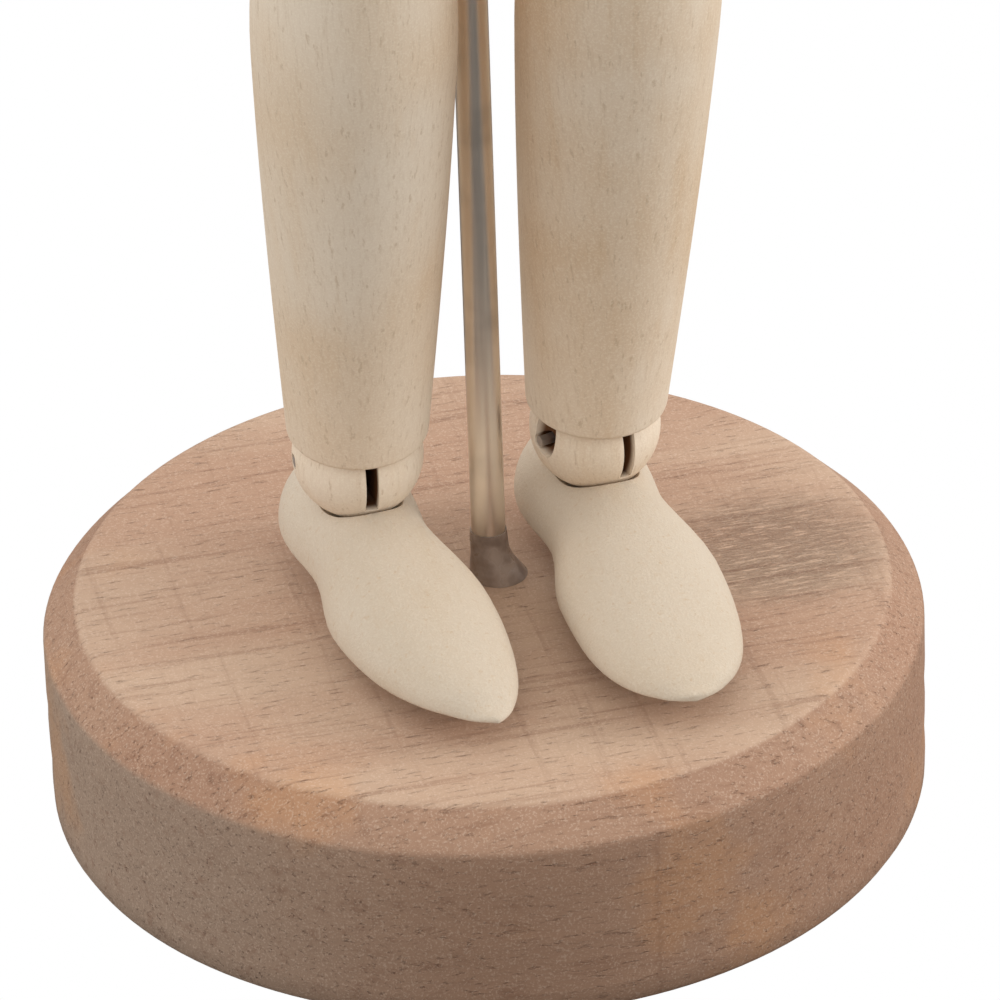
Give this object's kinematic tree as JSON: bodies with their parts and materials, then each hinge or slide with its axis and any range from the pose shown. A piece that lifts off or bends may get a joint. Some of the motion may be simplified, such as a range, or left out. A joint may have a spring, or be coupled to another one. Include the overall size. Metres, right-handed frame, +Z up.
{
  "type": "artist mannequin",
  "caption": "Jointed wooden figure on a round stand, with slotted ball joints held by cross pins and springs, for posing and drawing.",
  "frame": {"origin": "centre of the stand's underside", "axes": "+Z up along the rod, the figure faces -Y, its left side is towards +X"},
  "size_m": [0.0952, 0.09, 0.3244],
  "materials": {
    "limb_wood": "bare pale close-grained wood, sanded smooth",
    "carved_wood": "bare pale wood, carved and sanded, slightly fuzzy",
    "ball_wood": "bare pale wood, turned, with a saw kerf",
    "base_wood": "reddish tan open-pored wood, coarsely sanded",
    "rod_steel": "bright drawn steel",
    "pin_steel": "plain steel pin",
    "spring_steel": "spring wire",
    "glue": "set glue, brownish and slightly see-through"
  },
  "bodies": {
    "stand": {"base": "base_wood", "rod": "rod_steel", "glue_fillet": "glue"},
    "pelvis": {"pelvis": "limb_wood"},
    "waist_ball": {"waist_ball": "ball_wood", "waist_pin": "pin_steel"},
    "chest": {"chest": "limb_wood", "chest_spring": "spring_steel"},
    "neck_ball": {"neck_ball": "ball_wood", "neck_pin": "pin_steel"},
    "head": {"head": "limb_wood"},
    "right_hip_ball": {"right_hip_ball": "ball_wood", "right_hip_pin": "pin_steel"},
    "right_thigh": {"right_thigh": "limb_wood", "right_thigh_spring": "spring_steel", "right_thigh_anchor_pin": "pin_steel"},
    "right_knee_ball": {"right_knee_ball": "ball_wood", "right_knee_pin": "pin_steel"},
    "right_shin": {"right_shin": "limb_wood", "right_shin_spring": "spring_steel"},
    "right_ankle_ball": {"right_ankle_ball": "ball_wood", "right_ankle_pin": "pin_steel"},
    "right_foot": {"right_foot": "carved_wood"},
    "right_shoulder_ball": {"right_shoulder_ball": "ball_wood", "right_shoulder_pin": "pin_steel"},
    "right_upper_arm": {"right_upper_arm": "limb_wood", "right_upper_arm_spring": "spring_steel", "right_upper_arm_anchor_pin": "pin_steel"},
    "right_elbow_ball": {"right_elbow_ball": "ball_wood", "right_elbow_pin": "pin_steel"},
    "right_forearm": {"right_forearm": "limb_wood", "right_forearm_spring": "spring_steel"},
    "right_wrist_ball": {"right_wrist_ball": "ball_wood", "right_wrist_pin": "pin_steel"},
    "right_hand": {"right_hand": "carved_wood"},
    "left_hip_ball": {"left_hip_ball": "ball_wood", "left_hip_pin": "pin_steel"},
    "left_thigh": {"left_thigh": "limb_wood", "left_thigh_spring": "spring_steel", "left_thigh_anchor_pin": "pin_steel"},
    "left_knee_ball": {"left_knee_ball": "ball_wood", "left_knee_pin": "pin_steel"},
    "left_shin": {"left_shin": "limb_wood", "left_shin_spring": "spring_steel"},
    "left_ankle_ball": {"left_ankle_ball": "ball_wood", "left_ankle_pin": "pin_steel"},
    "left_foot": {"left_foot": "carved_wood"},
    "left_shoulder_ball": {"left_shoulder_ball": "ball_wood", "left_shoulder_pin": "pin_steel"},
    "left_upper_arm": {"left_upper_arm": "limb_wood", "left_upper_arm_spring": "spring_steel", "left_upper_arm_anchor_pin": "pin_steel"},
    "left_elbow_ball": {"left_elbow_ball": "ball_wood", "left_elbow_pin": "pin_steel"},
    "left_forearm": {"left_forearm": "limb_wood", "left_forearm_spring": "spring_steel"},
    "left_wrist_ball": {"left_wrist_ball": "ball_wood", "left_wrist_pin": "pin_steel"},
    "left_hand": {"left_hand": "carved_wood"}
  },
  "joints": [
    {"name": "figure_lift", "type": "slide", "parent": "stand", "child": "pelvis", "axis": [0, 0, 1], "range_m": [0, 0.008]},
    {"name": "waist_turn", "type": "hinge", "parent": "pelvis", "child": "waist_ball", "pos_m": [0.0008, 0, 0.22693], "axis": [0, 0, 1], "range_deg": [-40, 40]},
    {"name": "waist_bend", "type": "hinge", "parent": "waist_ball", "child": "chest", "pos_m": [0.0008, 0, 0.22693], "axis": [1, 0, 0], "range_deg": [-24, 28]},
    {"name": "neck_nod", "type": "hinge", "parent": "chest", "child": "neck_ball", "pos_m": [0.0008, 0, 0.28313], "axis": [1, 0, 0], "range_deg": [-20, 20]},
    {"name": "head_turn", "type": "hinge", "parent": "neck_ball", "child": "head", "pos_m": [0.0008, 0, 0.28313], "axis": [0, 0, 1], "range_deg": [-60, 60]},
    {"name": "right_hip_turn", "type": "hinge", "parent": "pelvis", "child": "right_hip_ball", "pos_m": [-0.0132, 0, 0.19573], "axis": [0, 0, 1], "range_deg": [-30, 2]},
    {"name": "right_hip_swing", "type": "hinge", "parent": "right_hip_ball", "child": "right_thigh", "pos_m": [-0.0132, 0, 0.19573], "axis": [1, 0, 0], "range_deg": [-32, 25]},
    {"name": "right_knee_turn", "type": "hinge", "parent": "right_thigh", "child": "right_knee_ball", "pos_m": [-0.01171, -0.00899, 0.12229], "axis": [-0.0201, 0.1215, 0.9924], "range_deg": [-3, 20]},
    {"name": "right_knee_bend", "type": "hinge", "parent": "right_knee_ball", "child": "right_shin", "pos_m": [-0.01171, -0.00899, 0.12229], "axis": [1, 0, 0], "range_deg": [-13, 40]},
    {"name": "right_ankle_pitch", "type": "hinge", "parent": "right_shin", "child": "right_ankle_ball", "pos_m": [-0.0116, 0.0034, 0.0382], "axis": [1, 0, 0], "range_deg": [-22, 3]},
    {"name": "right_ankle_turn", "type": "hinge", "parent": "right_ankle_ball", "child": "right_foot", "pos_m": [-0.0116, 0.0034, 0.0382], "axis": [0, 0, 1], "range_deg": [-35, 3]},
    {"name": "right_shoulder_swing", "type": "hinge", "parent": "chest", "child": "right_shoulder_ball", "pos_m": [-0.0282, 0, 0.27053], "axis": [1, 0, 0], "range_deg": [-120, 50]},
    {"name": "right_shoulder_raise", "type": "hinge", "parent": "right_shoulder_ball", "child": "right_upper_arm", "pos_m": [-0.0282, 0, 0.27053], "axis": [0, 1, 0], "range_deg": [-5, 70]},
    {"name": "right_elbow_turn", "type": "hinge", "parent": "right_upper_arm", "child": "right_elbow_ball", "pos_m": [-0.0354, 0, 0.22509], "axis": [0.1564, 0, 0.9877], "range_deg": [-60, 60]},
    {"name": "right_elbow_bend", "type": "hinge", "parent": "right_elbow_ball", "child": "right_forearm", "pos_m": [-0.0354, 0, 0.22509], "axis": [-0.9877, 0, 0.1564], "range_deg": [-12, 40]},
    {"name": "right_wrist_bend", "type": "hinge", "parent": "right_forearm", "child": "right_wrist_ball", "pos_m": [-0.04208, -0.01064, 0.18293], "axis": [-0.9877, 0, 0.1564], "range_deg": [-28, 28]},
    {"name": "right_wrist_turn", "type": "hinge", "parent": "right_wrist_ball", "child": "right_hand", "pos_m": [-0.04208, -0.01064, 0.18293], "axis": [0.1518, 0.2419, 0.9583], "range_deg": [-60, 60]},
    {"name": "left_hip_turn", "type": "hinge", "parent": "pelvis", "child": "left_hip_ball", "pos_m": [0.0148, 0, 0.19573], "axis": [0, 0, -1], "range_deg": [-30, 2]},
    {"name": "left_hip_swing", "type": "hinge", "parent": "left_hip_ball", "child": "left_thigh", "pos_m": [0.0148, 0, 0.19573], "axis": [1, 0, 0], "range_deg": [-32, 25]},
    {"name": "left_knee_turn", "type": "hinge", "parent": "left_thigh", "child": "left_knee_ball", "pos_m": [0.01531, -0.00963, 0.12236], "axis": [0.0068, -0.1302, -0.9915], "range_deg": [-3, 20]},
    {"name": "left_knee_bend", "type": "hinge", "parent": "left_knee_ball", "child": "left_shin", "pos_m": [0.01531, -0.00963, 0.12236], "axis": [1, 0, 0], "range_deg": [-13, 40]},
    {"name": "left_ankle_pitch", "type": "hinge", "parent": "left_shin", "child": "left_ankle_ball", "pos_m": [0.0127, 0.002, 0.0382], "axis": [0.9563, 0.2924, 0], "range_deg": [-22, 3]},
    {"name": "left_ankle_turn", "type": "hinge", "parent": "left_ankle_ball", "child": "left_foot", "pos_m": [0.0127, 0.002, 0.0382], "axis": [0, 0, -1], "range_deg": [-35, 3]},
    {"name": "left_shoulder_swing", "type": "hinge", "parent": "chest", "child": "left_shoulder_ball", "pos_m": [0.0298, 0, 0.27053], "axis": [1, 0, 0], "range_deg": [-120, 50]},
    {"name": "left_shoulder_raise", "type": "hinge", "parent": "left_shoulder_ball", "child": "left_upper_arm", "pos_m": [0.0298, 0, 0.27053], "axis": [0, -1, 0], "range_deg": [-5, 70]},
    {"name": "left_elbow_turn", "type": "hinge", "parent": "left_upper_arm", "child": "left_elbow_ball", "pos_m": [0.037, 0, 0.22509], "axis": [-0.1564, 0, 0.9877], "range_deg": [-60, 60]},
    {"name": "left_elbow_bend", "type": "hinge", "parent": "left_elbow_ball", "child": "left_forearm", "pos_m": [0.037, 0, 0.22509], "axis": [-0.9877, 0, -0.1564], "range_deg": [-12, 40]},
    {"name": "left_wrist_bend", "type": "hinge", "parent": "left_forearm", "child": "left_wrist_ball", "pos_m": [0.04367, -0.01064, 0.18293], "axis": [-0.9877, 0, -0.1564], "range_deg": [-28, 28]},
    {"name": "left_wrist_turn", "type": "hinge", "parent": "left_wrist_ball", "child": "left_hand", "pos_m": [0.04367, -0.01064, 0.18293], "axis": [-0.1518, 0.2419, 0.9583], "range_deg": [-60, 60]}
  ]
}
